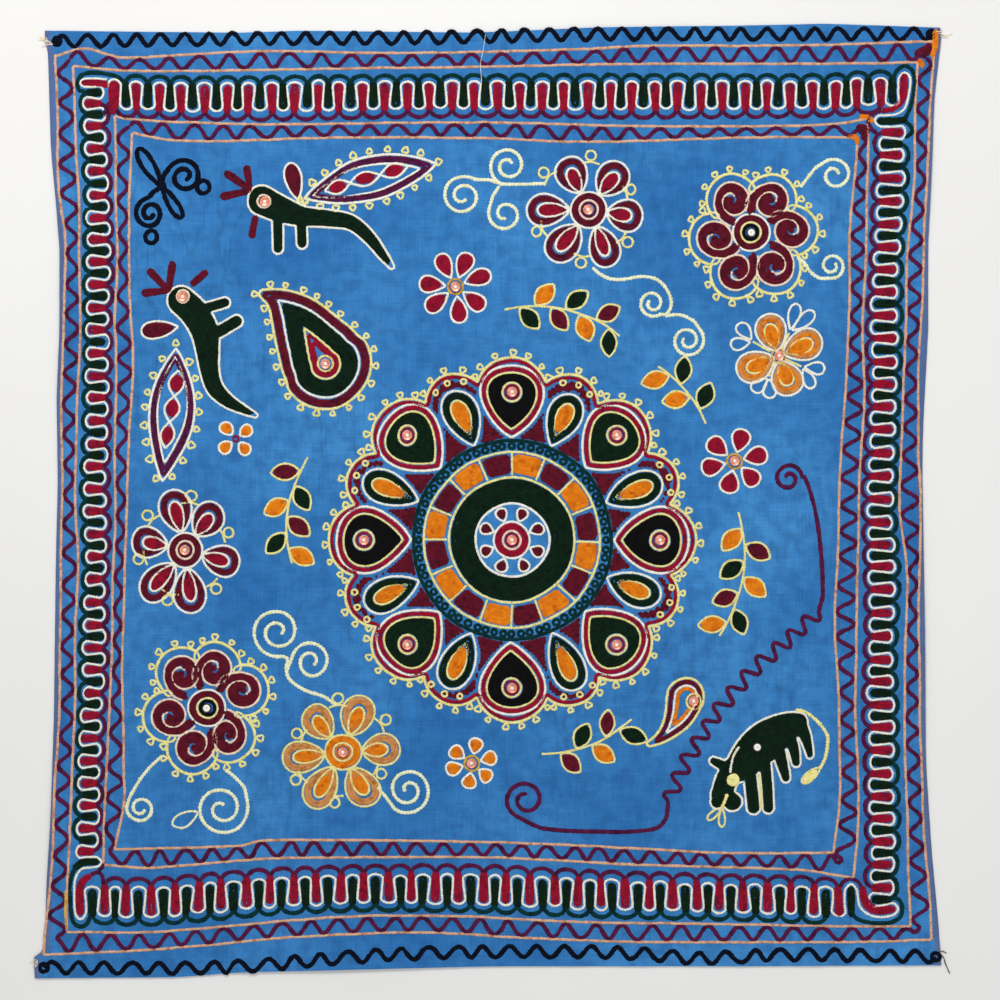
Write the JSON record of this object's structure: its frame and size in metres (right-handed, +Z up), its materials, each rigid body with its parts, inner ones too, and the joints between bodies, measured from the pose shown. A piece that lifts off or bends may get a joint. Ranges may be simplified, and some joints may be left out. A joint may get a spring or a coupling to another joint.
{
  "type": "embroidered wall tapestry",
  "caption": "A blue cotton wall hanging lying flat, hemmed at top and bottom, covered in chain stitch flowers, animals, a medallion and bands of border, with round spangles sewn on",
  "frame": {"origin": "bottom centre of the box of the cloth as it lies: the surface that it lies on is z = 0", "axes": "+Z up out of the embroidered face, +Y towards the top edge of the design, +X to its right"},
  "size_m": [0.907, 0.954, 0.0047],
  "materials": {
    "blue_cotton": "plain-woven cotton, matt, a little uneven in its dye",
    "spangle": "thin glossy cupped spangle in warm pink-gilt",
    "cream_thread": "chain stitch in cream cotton, soft sheen",
    "maroon_thread": "chain stitch in dark red wool",
    "crimson_thread": "chain stitch in bright red wool",
    "green_thread": "chain stitch in deep green wool",
    "black_thread": "chain stitch in black wool",
    "orange_thread": "chain stitch in orange wool"
  },
  "bodies": {
    "root": {"cloth": "blue_cotton", "spangle_bird_eye_upper": "spangle", "spangle_bird_eye_lower": "spangle", "spangle_flower_top": "spangle", "spangle_flower_left": "spangle", "spangle_flower_bottom": "spangle", "spangle_flower_right": "spangle", "spangle_rosette_top": "spangle", "spangle_rosette_bottom": "spangle", "spangle_calf_shoulder": "spangle", "spangle_buta_upper": "spangle", "spangle_buta_lower": "spangle", "spangle_sprig_top": "spangle", "spangle_sprig_right": "spangle", "spangle_sprig_bottom": "spangle", "spangle_medallion_heart": "spangle", "spangle_medallion_petal_1": "spangle", "spangle_medallion_petal_2": "spangle", "spangle_medallion_petal_3": "spangle", "spangle_medallion_petal_4": "spangle", "spangle_medallion_petal_5": "spangle", "spangle_medallion_petal_6": "spangle", "spangle_medallion_petal_7": "spangle", "spangle_medallion_petal_8": "spangle"}
  },
  "joints": []
}
